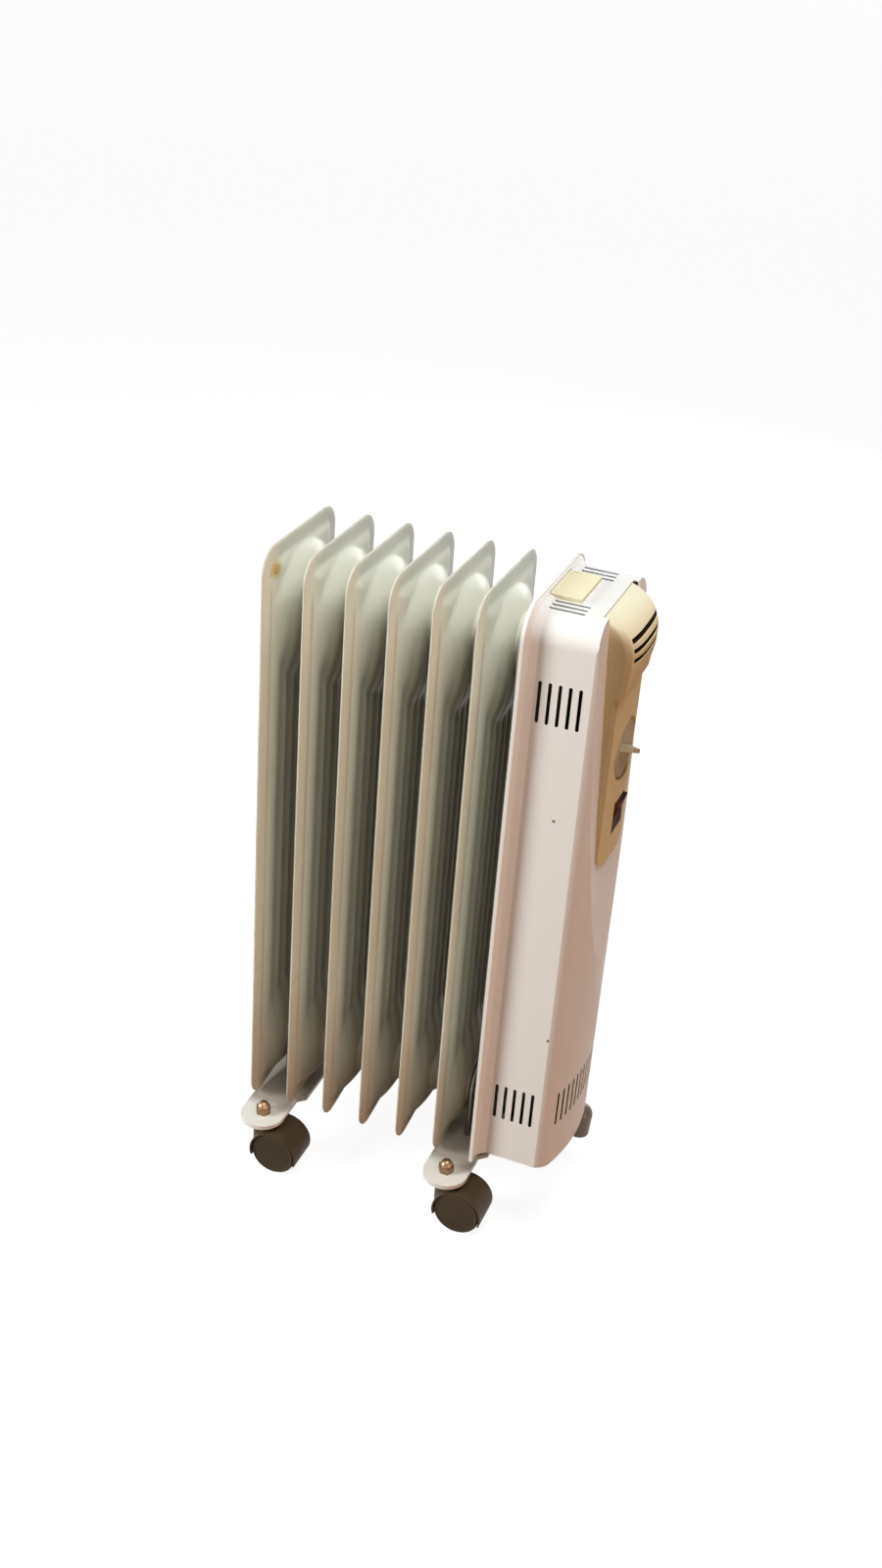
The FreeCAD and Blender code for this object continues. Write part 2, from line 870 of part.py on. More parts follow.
def make_knob():
    body = new_body("thermostat_knob", knob_x, 0, dial_z)
    body.Placement.Rotation = FreeCAD.Rotation(FreeCAD.Vector(-1, 0, 0), number(s.dial_rest))
    bind(body, "Placement.Rotation.Angle", s.dial_rest)
    disc = new_sketch(body, "XZ_Plane")
    edge = s.dial_thick / 3
    outline(
        disc,
        (0, 0),
        (s.dial_thick, 0),
        (s.dial_thick, s.dial_radius - edge),
        (s.dial_thick - edge, s.dial_radius),
        (0, s.dial_radius),
    )
    turn(body, disc, "H_Axis")
    root_half, root_thick = s.grip_half, s.grip_thick / 2
    foot = new_sketch(body, "YZ_Plane", lift=s.dial_thick)
    rectangle(foot, -root_half, -root_thick, root_half, root_thick)
    tip_half, tip_thick = s.grip_tip_half, s.grip_tip_thick / 2
    crown = new_sketch(body, "YZ_Plane", lift=s.dial_thick + s.grip_height)
    rectangle(crown, -tip_half, -tip_thick, tip_half, tip_thick)
    feature(body, "AdditiveLoft", foot, Sections=[crown], Ruled=True)
    return body


def make_shaft():
    """The thermostat's spindle, from the knob's back into the thermostat."""
    body = new_body("thermostat_shaft", knob_x, 0, dial_z)
    profile = new_sketch(body, "YZ_Plane")
    circle(profile, 0, 0, s.shaft_radius)
    pad(body, profile, knob_x - thermostat_x() + s.thermostat_depth / 2, back=True)
    return body


def thermostat_x():
    """The thermostat's front face, against the panel's flat back."""
    return facet_x(dial_z + s.thermostat_side / 2)


def make_thermostat():
    body = new_body("thermostat", thermostat_x(), 0, dial_z)
    half = s.thermostat_side / 2
    block = rectangle(new_sketch(body, "YZ_Plane"), -half, -half, half, half)
    pad(body, block, s.thermostat_depth, back=True)
    hole = circle(new_sketch(body, "YZ_Plane"), 0, 0, s.shaft_radius + s.run_clear)
    pocket(body, hole, s.thermostat_depth * 0.6)
    return body


def pivot_x():
    return panel_face - s.rocker_body * 0.75


def make_rocker(label, side):
    middle = (s.rocker_width + s.rocker_gap) / 2 * side
    body = new_body(label, pivot_x(), middle, switch_z)
    body.Placement.Rotation = FreeCAD.Rotation(FreeCAD.Vector(0, 1, 0), number(s.rocker_tilt))
    bind(body, "Placement.Rotation.Angle", s.rocker_tilt)
    half = s.rocker_length / 2 - s.rocker_gap * 2
    crest = panel_face + s.rocker_proud - pivot_x()
    ridge = s.rocker_proud * 2
    root_half = half * 0.7
    profile = outline(
        new_sketch(body, "XZ_Plane"),
        (crest - ridge, 0),
        (crest, half),
        (crest - s.rocker_body / 2, half),
        (-s.rocker_body / 2, root_half),
        (-s.rocker_body / 2, -root_half),
        (crest - s.rocker_body / 2, -half),
        (crest, -half),
    )
    pad(body, profile, s.rocker_width, both=True)
    hole = circle(new_sketch(body, "XZ_Plane"), 0, 0, s.pivot_radius + s.run_clear)
    bore(body, hole)
    return body


def make_pivot():
    body = new_body("rocker_pivot", pivot_x(), 0, switch_z)
    pin = circle(new_sketch(body, "XZ_Plane"), 0, 0, s.pivot_radius)
    length = s.rocker_width * 2 + s.rocker_gap * 3 + (s.housing_wall - s.fit_clear) * 2
    pad(body, pin, length, both=True)
    return body


def make_switch_housing():
    """A box behind the window, open at the front, whose cheeks carry the rockers' pivot."""
    body = new_body("switch_housing", pivot_x(), 0, switch_z)
    front = s.rocker_body * 0.75 - s.panel_bow
    half = s.rocker_width + s.rocker_gap * 1.5
    tall = s.rocker_length / 2 + s.rocker_gap
    block = new_sketch(body, "YZ_Plane", lift=front)
    wall = s.housing_wall - s.fit_clear
    rectangle(block, -half - wall, -tall - wall, half + wall, tall + wall)
    pad(body, block, s.housing_depth, back=True)
    hollow = rectangle(new_sketch(body, "YZ_Plane", lift=front), -half, -tall, half, tall)
    pocket(body, hollow, s.housing_depth - s.housing_wall)
    hole = circle(new_sketch(body, "XZ_Plane"), 0, 0, s.pivot_radius + s.run_clear)
    bore(body, hole)
    return body


def make_insert():
    """The cover plate on the box's top, with a sunk blank panel and a tongue through the sheet."""
    body = new_body("top_cover", lip_x + s.lip_thick + s.insert_inset, 0, box_high)
    plate = new_sketch(body, "XY_Plane")
    cut = s.insert_frame
    half = s.insert_half
    outline(
        plate,
        (s.insert_length, -half),
        (s.insert_length, half),
        (cut, half),
        (0, half - cut, cut, 1),
        (0, cut - half),
        (cut, -half, cut, 1),
    )
    pad(body, plate, s.insert_thick)
    sunk = new_sketch(body, "XY_Plane", lift=s.insert_thick)
    rectangle(sunk, cut, cut - half, s.insert_length - cut, half - cut)
    pocket(body, sunk, s.insert_thick / 6)
    tongue = new_sketch(body, "XY_Plane")
    left = s.flare_reach + s.insert_frame - s.insert_inset + s.fit_clear
    reach = half - cut * 2 - s.fit_clear
    rectangle(tongue, left, -reach, left + s.insert_length / 2 - s.fit_clear * 2, reach)
    pad(body, tongue, s.wall * 2, back=True)
    return body


# Brackets and fixings

def bracket_outline(sketch, inset):
    """A long plate with round ends and a wider saddle in the middle."""
    half, reach = s.bracket_half - inset, s.bracket_reach - inset
    wide, shoulder = s.saddle_half - inset, s.saddle_reach - inset
    straight = reach - half
    step = s.saddle_half - s.bracket_half
    outline(
        sketch,
        (wide, -shoulder),
        (wide, shoulder),
        (half, shoulder + step),
        (half, straight),
        (-half, straight, None, 1),
        (-half, shoulder + step),
        (-wide, shoulder),
        (-wide, -shoulder),
        (-half, -shoulder - step),
        (-half, -straight),
        (half, -straight, None, 1),
        (half, -shoulder - step),
    )
    return sketch


def make_bracket(label, x):
    body = new_body(label, x, 0, fin_base)
    blank = bracket_outline(new_sketch(body, "XY_Plane"), Size(0, "0"))
    pad(body, blank, s.bracket_edge, back=True)
    dish = bracket_outline(new_sketch(body, "XY_Plane", lift=-s.bracket_edge), s.bracket_sheet)
    pocket(body, dish, s.bracket_edge - s.bracket_sheet, back=True)
    holes = new_sketch(body, "XY_Plane")
    for side in (1, -1):
        circle(holes, 0, s.stem_offset * side, s.stem_radius + s.run_clear)
        circle(holes, 0, bolt_spread * side, s.bolt_radius + s.run_clear)
    bore(body, holes)
    return body


def make_u_bolt(label, x):
    """A round rod bent over the lower header, with both legs down through the bracket."""
    body = new_body(label, x, 0, low_header)
    tail = low_header - plate_under + s.bolt_tail
    path = new_sketch(body, "YZ_Plane")
    for side in (1, -1):
        first, last = vector(bolt_spread * side, -tail), vector(bolt_spread * side, 0)
        leg = path.addGeometry(Part.LineSegment(first, last), False)
        constrain(path, held(leg, 1, bolt_spread * side, -tail))
        path.addConstraint(Sketcher.Constraint("PointOnObject", leg, 2, -1))
        path.addConstraint(Sketcher.Constraint("Vertical", leg))
    bend = Part.ArcOfCircle(Part.Circle(vector(0, 0), FreeCAD.Vector(0, 0, 1), number(bolt_spread)), 0, math.pi)
    arc = path.addGeometry(bend, False)
    path.addConstraint(Sketcher.Constraint("Coincident", arc, 1, 0, 2))
    path.addConstraint(Sketcher.Constraint("Coincident", arc, 2, 1, 2))
    path.addConstraint(Sketcher.Constraint("PointOnObject", arc, 3, -1))
    section = circle(new_sketch(body, "XY_Plane", lift=-tail), 0, bolt_spread, s.bolt_radius)
    feature(body, "AdditivePipe", section, Spine=(path, ["Edge1", "Edge3", "Edge2"]))
    return body


def make_wing_nuts():
    pieces = []
    for order, (x, side) in enumerate(((rear_stem, 1), (rear_stem, -1), (front_stem, 1), (front_stem, -1))):
        body = new_body(f"wing_nut_{order}", x, bolt_spread * side, plate_under)
        hub = new_sketch(body, "XZ_Plane")
        inner = s.bolt_radius + s.run_clear
        outline(
            hub,
            (inner, 0),
            (inner, -s.nut_height),
            (s.nut_radius * 0.8, -s.nut_height),
            (s.nut_radius, 0),
        )
        turn(body, hub, "V_Axis")
        wings = new_sketch(body, "XZ_Plane")
        for hand in (1, -1):
            outline(
                wings,
                (s.nut_radius * 0.75 * hand, -s.nut_height * 0.25),
                (s.wing_reach * hand, -s.nut_height * 1.1),
                (s.wing_reach * 0.75 * hand, -s.nut_height * 1.5),
                (s.nut_radius * 0.75 * hand, -s.nut_height * 0.9),
            )
        pad(body, wings, s.wing_thick, both=True)
        pieces.append(body)
    return group("wing_nuts", pieces)


def stem_places():
    return [(x, s.stem_offset * side) for x in (rear_stem, front_stem) for side in (1, -1)]


def make_dome_nuts():
    pieces = []
    for order, (x, y) in enumerate(stem_places()):
        body = new_body(f"dome_nut_{order}", x, y, fin_base)
        hexagon = new_sketch(body, "XY_Plane")
        flat = s.dome_across / 2
        corner = flat * (2 / math.sqrt(3))
        outline(
            hexagon,
            (corner, 0),
            (corner / 2, flat),
            (-corner / 2, flat),
            (-corner, 0),
            (-corner / 2, -flat),
            (corner / 2, -flat),
        )
        pad(body, hexagon, s.dome_height)
        dome = new_sketch(body, "XZ_Plane", up=s.dome_height)
        cap = flat * 0.92
        outline(dome, (0, 0), (cap, 0), (0, cap, cap, 1))
        turn(body, dome, "V_Axis")
        thread = circle(new_sketch(body, "XY_Plane"), 0, 0, s.stem_radius + s.run_clear)
        pocket(body, thread, s.dome_height, back=True)
        pieces.append(body)
    return group("dome_nuts", pieces)


def make_stems():
    """Fixed stems: a threaded end through the bracket, a collar under it and a pin the caster turns on."""
    pieces = []
    for order, (x, y) in enumerate(stem_places()):
        body = new_body(f"caster_stem_{order}", x, y, hood_top)
        profile = new_sketch(body, "XZ_Plane")
        outline(
            profile,
            (0, -s.pin_length),
            (s.pin_radius, -s.pin_length),
            (s.pin_radius, s.fit_clear),
            (s.collar_radius, s.fit_clear),
            (s.collar_radius, s.collar_height),
            (s.stem_radius, s.collar_height),
            (s.stem_radius, s.collar_height + s.bracket_sheet + s.dome_height - s.fit_clear),
            (0, s.collar_height + s.bracket_sheet + s.dome_height - s.fit_clear),
        )
        turn(body, profile, "V_Axis")
        pieces.append(body)
    return group("caster_stems", pieces)


# Casters

def make_hood(label, x, y):
    """The swivelling half drum over both wheels, its middle web and the boss that takes the stem."""
    body = new_body(label, x, y, 0)
    axle_z = s.wheel_radius
    drum = circle(new_sketch(body, "XZ_Plane"), s.trail, axle_z, hood_outer)
    pad(body, drum, s.caster_half * 2, both=True)
    boss = circle(new_sketch(body, "XY_Plane", lift=axle_z), 0, 0, s.boss_radius)
    pad(body, boss, hood_outer)
    for side in (1, -1):
        space = new_sketch(body, "XZ_Plane", lift=s.web_half * side)
        circle(space, s.trail, axle_z, s.wheel_radius + s.wheel_gap)
        pocket(body, space, s.caster_half, back=side > 0)
    under = new_sketch(body, "XZ_Plane")
    spare = hood_outer * 3
    rectangle(under, -spare, -spare, spare, axle_z - s.hood_skirt)
    bore(body, under)
    socket = circle(new_sketch(body, "XY_Plane", lift=hood_top), 0, 0, s.pin_radius + s.run_clear)
    pocket(body, socket, s.pin_length + s.fit_clear)
    hole = circle(new_sketch(body, "XZ_Plane"), s.trail, axle_z, s.axle_radius + s.run_clear)
    bore(body, hole)
    return body


def make_axle(label, x, y):
    body = new_body(label, x + s.trail, y, s.wheel_radius)
    rod = circle(new_sketch(body, "XZ_Plane"), 0, 0, s.axle_radius)
    pad(body, rod, s.axle_half * 2, both=True)
    return body


def make_wheel(label, x, y, side):
    """One wheel of the pair: a round tread, a dished outer face and a blind hub hole for the axle."""
    body = new_body(label, x + s.trail, y, s.wheel_radius)
    profile = new_sketch(body, "XY_Plane")
    inner = (s.web_half + s.wheel_gap) * side
    outer = inner + s.wheel_width * side
    edge = s.wheel_width * 0.15 * side
    hub_end = (s.axle_half + s.fit_clear) * side
    hub = s.axle_radius + s.run_clear
    outline(
        profile,
        (hub, inner),
        (s.wheel_radius * 0.94, inner),
        (s.wheel_radius, inner + edge),
        (s.wheel_radius, outer - edge),
        (s.wheel_radius * 0.93, outer),
        (s.wheel_radius * 0.82, outer - edge * 0.5),
        (0, outer),
        (0, hub_end),
        (hub, hub_end),
    )
    turn(body, profile, "V_Axis")
    return body


# Pieces inside the headers and the box

def make_element_flange():
    body = new_body("element_flange", last_fin + s.end_boss, 0, low_header)
    disc = circle(new_sketch(body, "YZ_Plane"), 0, 0, s.flange_radius)
    pad(body, disc, s.flange_thick)
    spigot = circle(new_sketch(body, "YZ_Plane"), 0, 0, s.header_bore - s.fit_clear)
    pad(body, spigot, s.end_boss, back=True)
    holes = new_sketch(body, "YZ_Plane")
    for side in (1, -1):
        circle(holes, s.element_spread / 2 * side, 0, s.element_radius + s.run_clear)
    bore(body, holes)
    return body


def make_element():
    """A hairpin heating rod in the lower header, its two ends out through the flange."""
    body = new_body("heating_element", last_fin + s.end_boss, 0, low_header)
    half = s.element_spread / 2
    out = s.flange_thick * 2
    path = new_sketch(body, "XY_Plane")
    for side in (1, -1):
        leg = path.addGeometry(Part.LineSegment(vector(out, half * side), vector(-s.element_length, half * side)), False)
        constrain(path, held(leg, 1, out, half * side) + held(leg, 2, -s.element_length, half * side))
    ring = Part.Circle(vector(-s.element_length, 0), FreeCAD.Vector(0, 0, 1), number(half))
    arc = path.addGeometry(Part.ArcOfCircle(ring, math.pi / 2, math.pi * 3 / 2), False)
    path.addConstraint(Sketcher.Constraint("Coincident", arc, 1, 0, 2))
    path.addConstraint(Sketcher.Constraint("Coincident", arc, 2, 1, 2))
    path.addConstraint(Sketcher.Constraint("Vertical", arc, 3, arc, 1))
    section = circle(new_sketch(body, "YZ_Plane", lift=out), half, 0, s.element_radius)
    feature(body, "AdditivePipe", section, Spine=(path, ["Edge1", "Edge3", "Edge2"]))
    return body


def make_oil_plug():
    body = new_body("oil_filler_plug", last_fin + s.end_boss, 0, fin_top - s.header_drop)
    profile = new_sketch(body, "XZ_Plane")
    outline(
        profile,
        (-s.end_boss, 0),
        (s.flange_thick, 0),
        (s.flange_thick, s.header_bore),
        (s.flange_thick / 2, s.flange_radius),
        (0, s.flange_radius),
        (0, s.header_bore - s.fit_clear),
        (-s.end_boss, s.header_bore - s.fit_clear),
    )
    turn(body, profile, "H_Axis")
    return body


def make_cutout():
    """The thermal cut-out, a small can on the back plate."""
    y = box_half - s.wall - s.cutout_radius - s.fit_clear * 3
    body = new_body("thermal_cutout", lip_x, -y, fin_base + s.cutout_height)
    can = circle(new_sketch(body, "YZ_Plane"), 0, 0, s.cutout_radius)
    pad(body, can, s.cutout_length)
    cap = circle(new_sketch(body, "YZ_Plane", lift=s.cutout_length), 0, 0, s.cutout_radius * 0.7)
    pad(body, cap, s.cutout_length / 2)
    return body


def make_terminal_block():
    body = new_body("terminal_block", lip_x + s.box_edge, 0, box_low + s.floor_thick)
    half = s.block_width / 2
    base = rectangle(new_sketch(body, "XY_Plane"), Size(0, "0"), -half, s.block_length, half)
    pad(body, base, s.block_height)
    return body


parts = [make_fin(order) for order in range(1, FINS + 1)]
parts += [
    make_back_plate(),
    make_shell(),
    make_box_floor(),
    make_box_screws(),
    make_gland(),
    make_panel(),
    make_knob(),
    make_shaft(),
    make_thermostat(),
    make_rocker("rocker_near", -1),
    make_rocker("rocker_far", 1),
    make_pivot(),
    make_switch_housing(),
    make_insert(),
    make_element_flange(),
    make_element(),
    make_oil_plug(),
    make_cutout(),
    make_terminal_block(),
]
for end, stem_x in (("rear", rear_stem), ("front", front_stem)):
    parts.append(make_bracket(f"{end}_bracket", stem_x))
    parts.append(make_u_bolt(f"{end}_u_bolt", stem_x))
parts += [make_wing_nuts(), make_dome_nuts(), make_stems()]
for end, stem_x in (("rear", rear_stem), ("front", front_stem)):
    for hand, side in (("near", -1), ("far", 1)):
        stem_y = s.stem_offset * side
        name = f"{end}_{hand}"
        parts.append(make_hood(f"caster_hood_{name}", stem_x, stem_y))
        parts.append(make_axle(f"caster_axle_{name}", stem_x, stem_y))
        parts.append(make_wheel(f"caster_wheel_{name}_a", stem_x, stem_y, -1))
        parts.append(make_wheel(f"caster_wheel_{name}_b", stem_x, stem_y, 1))

doc.recompute()
failed = [item.Label for item in doc.Objects if {"Invalid", "Error"} & set(item.State)]
failed += [item.Label for item in parts if item.Shape.isNull() or not item.Shape.isValid()]
if failed:
    raise RuntimeError(f"not built: {failed}")
os.makedirs("parts", exist_ok=True)
for item in parts:
    item.Shape.exportStep(f"parts/{item.Label}.step")
print(len(parts), "sub-parts")
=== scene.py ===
"""Looks for the oil-filled radiator: enamelled fins, painted box, cream controls, dark casters."""
import json
import math

import bmesh
import bpy
import numpy as np
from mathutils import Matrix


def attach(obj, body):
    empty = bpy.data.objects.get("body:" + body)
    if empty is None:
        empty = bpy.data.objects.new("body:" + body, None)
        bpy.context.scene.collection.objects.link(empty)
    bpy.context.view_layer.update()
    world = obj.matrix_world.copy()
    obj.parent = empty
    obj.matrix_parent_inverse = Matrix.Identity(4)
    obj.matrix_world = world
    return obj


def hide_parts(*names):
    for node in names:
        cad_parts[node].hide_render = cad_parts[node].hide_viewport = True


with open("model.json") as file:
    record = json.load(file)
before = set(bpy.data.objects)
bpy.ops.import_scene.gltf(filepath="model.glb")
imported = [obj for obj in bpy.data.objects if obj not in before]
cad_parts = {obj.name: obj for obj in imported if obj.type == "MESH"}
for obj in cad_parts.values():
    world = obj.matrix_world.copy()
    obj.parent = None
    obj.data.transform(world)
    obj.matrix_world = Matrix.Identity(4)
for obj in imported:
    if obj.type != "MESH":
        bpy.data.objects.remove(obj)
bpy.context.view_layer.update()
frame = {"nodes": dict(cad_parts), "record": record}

MM = 0.001

# Sizes shared with the solids, in millimetres
FIRST_FIN = -150.15
FIN_PITCH = 37.6
FIN_COUNT = 7
FIN_BASE = 55.0
FIN_HEIGHT = 565.0
FIN_HALF = 71.5
FIN_CORNER = 22.0
RIM_HALF = 1.0
RIM_WIDTH = 13.0
SLOPE_WIDTH = 13.0
CHAMBER_HALF = 5.0
FLUTE_COUNT = 6
FLUTE_PITCH = 14.0
FLUTE_RISE = 2.5
FLUTE_LOW = 86.0
FLUTE_HIGH = FIN_HEIGHT - 106.0
HEADERS = (50.0, FIN_HEIGHT - 60.0)
FUNNEL_RADIUS = 46.0
NECK_RADIUS = 22.0
END_BOSS = 12.0
BOX_REAR = FIRST_FIN + 227.4
BOX_HALF = 68.6
BOX_HIGH = 616.0
BOX_EDGE = 22.0
WALL_FRONT = FIRST_FIN + 285.6
BULGE = 20.0
BULGE_X = WALL_FRONT + BULGE
BULGE_RADIUS = 190.0
BULGE_HALF = 56.0
FACET_TOP = 0.3
FACET_RUN = 344.0
NOTCH_X = 123.4
NOTCH_LOW = 585.0
COVER_END = 116.5
HOOD_RADIUS = 34.0
HOOD_HALF = 39.0
NOSE_X = BULGE_X + 1.0
PANEL_FACE = BULGE_X - 1.5
DIAL_HIGH = BOX_HIGH - 131.0
DIAL_RADIUS = 25.6

# Shape of the header's funnel, a power of the distance inside its radius
FUNNEL_SCALE = 0.0515
FUNNEL_POWER = 1.839

# Softer forms than the solids have: lengths in millimetres, fullness and squareness as powers
RIM_ROUND = 0.9
RIM_DROP = 0.55
SEAM_DEPTH = 0.35
SLOPE_FULLNESS = 2.2
FLUTE_FADE = 42.0
FLUTE_SIDE_FADE = 3.0
CREASE_BEAD = 0.5
CREASE_WIDTH = 1.7
EDGE_ARCH = 6.0
ARCH_HALF = 68.0
ARCH_REACH = 60.0
DOME_SIDE = 57.0
DOME_SHORT = 46.0
DOME_LONG = 82.0
DOME_RISES = (13.5, 17.0)
DOME_SQUARENESS = 2.4
DOME_FULLNESS = 1.25
FOOT_RADIUS = 29.5
FOOT_BLEND = 1.0
CORNER_BLEND = 4.0
CLEAR_RIM = 2.0
THROAT_RADIUS = 32.0
TUCK_RADIUS = 35.0
BOSS_SKIN = 0.05
BOSS_INNER = (14.0, 0.5)
HOOD_SEAM = math.radians(75.0)
HOOD_RUN = 80.0
HOOD_SWELL = 5.3
HOOD_FULLNESS = 0.75

# Rounding of the end boss: steps in from its edge, and how far each lies under its flat
BOSS_ROUND = ((1.4, 0.75), (2.6, 0.2), (3.6, 0.0))

# Angles in degrees above which an edge stays sharp
FIN_SHARP = 40.0
PANEL_SHARP = 13.0

# Spacing of the new meshes, in millimetres
FINE_ROW = 2.6
PLAIN_LOW = 110.0
PLAIN_HIGH = FIN_HEIGHT - 120.0
EDGE_STEPS = (
    0.0, 0.35, 0.9, 2.0, 5.0, 9.0, 11.6, 12.5, 13.1,
    13.7, 14.5, 15.8, 17.6, 20.0, 22.6, 25.0, 26.6,
)
INNER_START = 28.5
INNER_STEP = 1.7
STRIP_LOW = 545.0
STRIP_REACH = 37.5
STRIP_WIDTH = 2.5

# Depths from which the box's inside and the hood's slots are painted dark as shade, in millimetres
SKIN = 0.25
SLOT_SKIN = 0.3

# Places of wear and marks, and of the painted shade in the hood's slots, in millimetres
CHIP = (FIRST_FIN + 3.5, -51.5, 600.0)
SPECKS = ((134.5, -68.6, 221.5), (116.8, -68.6, 440.6))
SLOT_HALF = 35.3
SLOT_LOW = 574.0
SLOT_HIGH = 598.5
SLOT_AHEAD = 18.5
SLOT_SWELL = 0.89 * HOOD_SWELL
INDEX_MARK = (PANEL_FACE, 0.0, DIAL_HIGH + DIAL_RADIUS + 4.0)

# Colours of paint and plastic, fresh and aged
IVORY = ((0.72, 0.725, 0.64), (0.69, 0.69, 0.595))
WHITE = ((0.84, 0.835, 0.82), (0.83, 0.82, 0.795))
BRACKET_WHITE = ((0.82, 0.80, 0.76), (0.75, 0.715, 0.65))
CREAM = ((0.78, 0.67, 0.41), (0.72, 0.59, 0.33))

# Colours of wear and marks, and of painted shade and painted light
GAP_SHADE = (0.29, 0.26, 0.195)
CREASE_SHADE = (0.34, 0.26, 0.20)
FOOT_SHADE = (0.38, 0.30, 0.22)
CHIP_EDGE = (0.66, 0.57, 0.36)
CHIP_RUST = (0.55, 0.36, 0.14)
INSIDE_SHADE = (0.02, 0.016, 0.013)
SPECK_BROWN = (0.22, 0.15, 0.10)
LIT_CREAM = (0.90, 0.87, 0.66)
HOOD_SIDE_SHADE = (0.42, 0.33, 0.19)
SLOT_SHADE = (0.03, 0.018, 0.01)
INDEX_BROWN = (0.16, 0.10, 0.06)
BRACKET_SHADOW = (0.28, 0.24, 0.19)

# Plain plastics: fresh and aged colour, roughness, grain, gloss, coat
PLASTICS = {
    "knob_plastic": ((0.50, 0.455, 0.32), (0.45, 0.395, 0.26), 0.4, 0.04, 0.0, 0.05),
    "rocker_red": ((0.11, 0.022, 0.014), (0.08, 0.016, 0.010), 0.6, 0.03, 0.0, 0.08),
    "rocker_dark": ((0.03, 0.014, 0.010), (0.042, 0.019, 0.013), 0.6, 0.04, 0.0, 0.08),
    "caster_plastic": ((0.062, 0.041, 0.022), (0.085, 0.058, 0.032), 0.45, 0.1, 0.12, 0.0),
    "wheel_plastic": ((0.045, 0.030, 0.017), (0.066, 0.045, 0.026), 0.5, 0.1, 0.12, 0.0),
    "dark_plastic": ((0.10, 0.068, 0.04), (0.14, 0.10, 0.06), 0.36, 0.1, 0.5, 0.0),
    "inner_plastic": ((0.03, 0.03, 0.03), (0.05, 0.05, 0.05), 0.5, 0.1, 0.5, 0.0),
}

# Plain metals: colour, roughness
METALS = {
    "bright_steel": ((0.66, 0.64, 0.60), 0.22),
    # dull_steel is darkened as painted shade, for U-bolts that stand in shade
    "dull_steel": ((0.22, 0.20, 0.17), 0.4),
    "nut_steel": ((0.34, 0.22, 0.13), 0.3),
    "inner_steel": ((0.42, 0.41, 0.40), 0.42),
}

# Floor and surroundings
FLOOR_WARM = (0.20, 0.13, 0.09)
FLOOR_GREY = (0.20, 0.20, 0.20)
FLOOR_GLOW = 0.88
ROOM_LIGHT = 0.03


# Materials

def colour(parts):
    return (*parts, 1.0)


